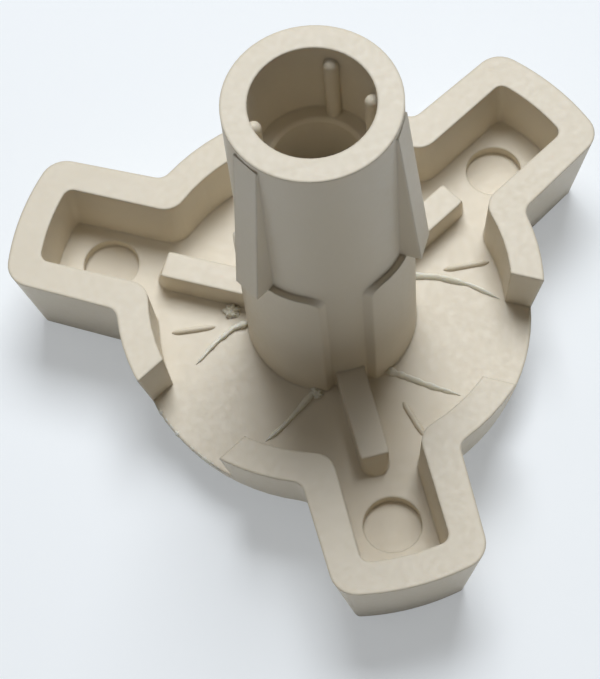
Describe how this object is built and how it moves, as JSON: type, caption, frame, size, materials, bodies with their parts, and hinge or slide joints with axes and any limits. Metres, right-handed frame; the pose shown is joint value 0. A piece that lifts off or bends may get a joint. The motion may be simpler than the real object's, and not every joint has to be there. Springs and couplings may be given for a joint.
{
  "type": "turntable drive coupling",
  "caption": "Moulded plastic drive coupling for a microwave turntable: a three-lobed plate with hollow walled lobes and a tall ribbed tube that slips over the motor shaft.",
  "frame": {"origin": "on the tube's axis, in the plane of the closed tray-side face that the part rests on", "axes": "+Z along the tube towards its open end, -Y along one lobe; the other two lobes are 120 degrees apart"},
  "size_m": [0.0534, 0.0473, 0.039],
  "materials": {
    "beige_plastic": "matte"
  },
  "bodies": {
    "root": {"turntable_coupling": "beige_plastic"}
  },
  "joints": []
}
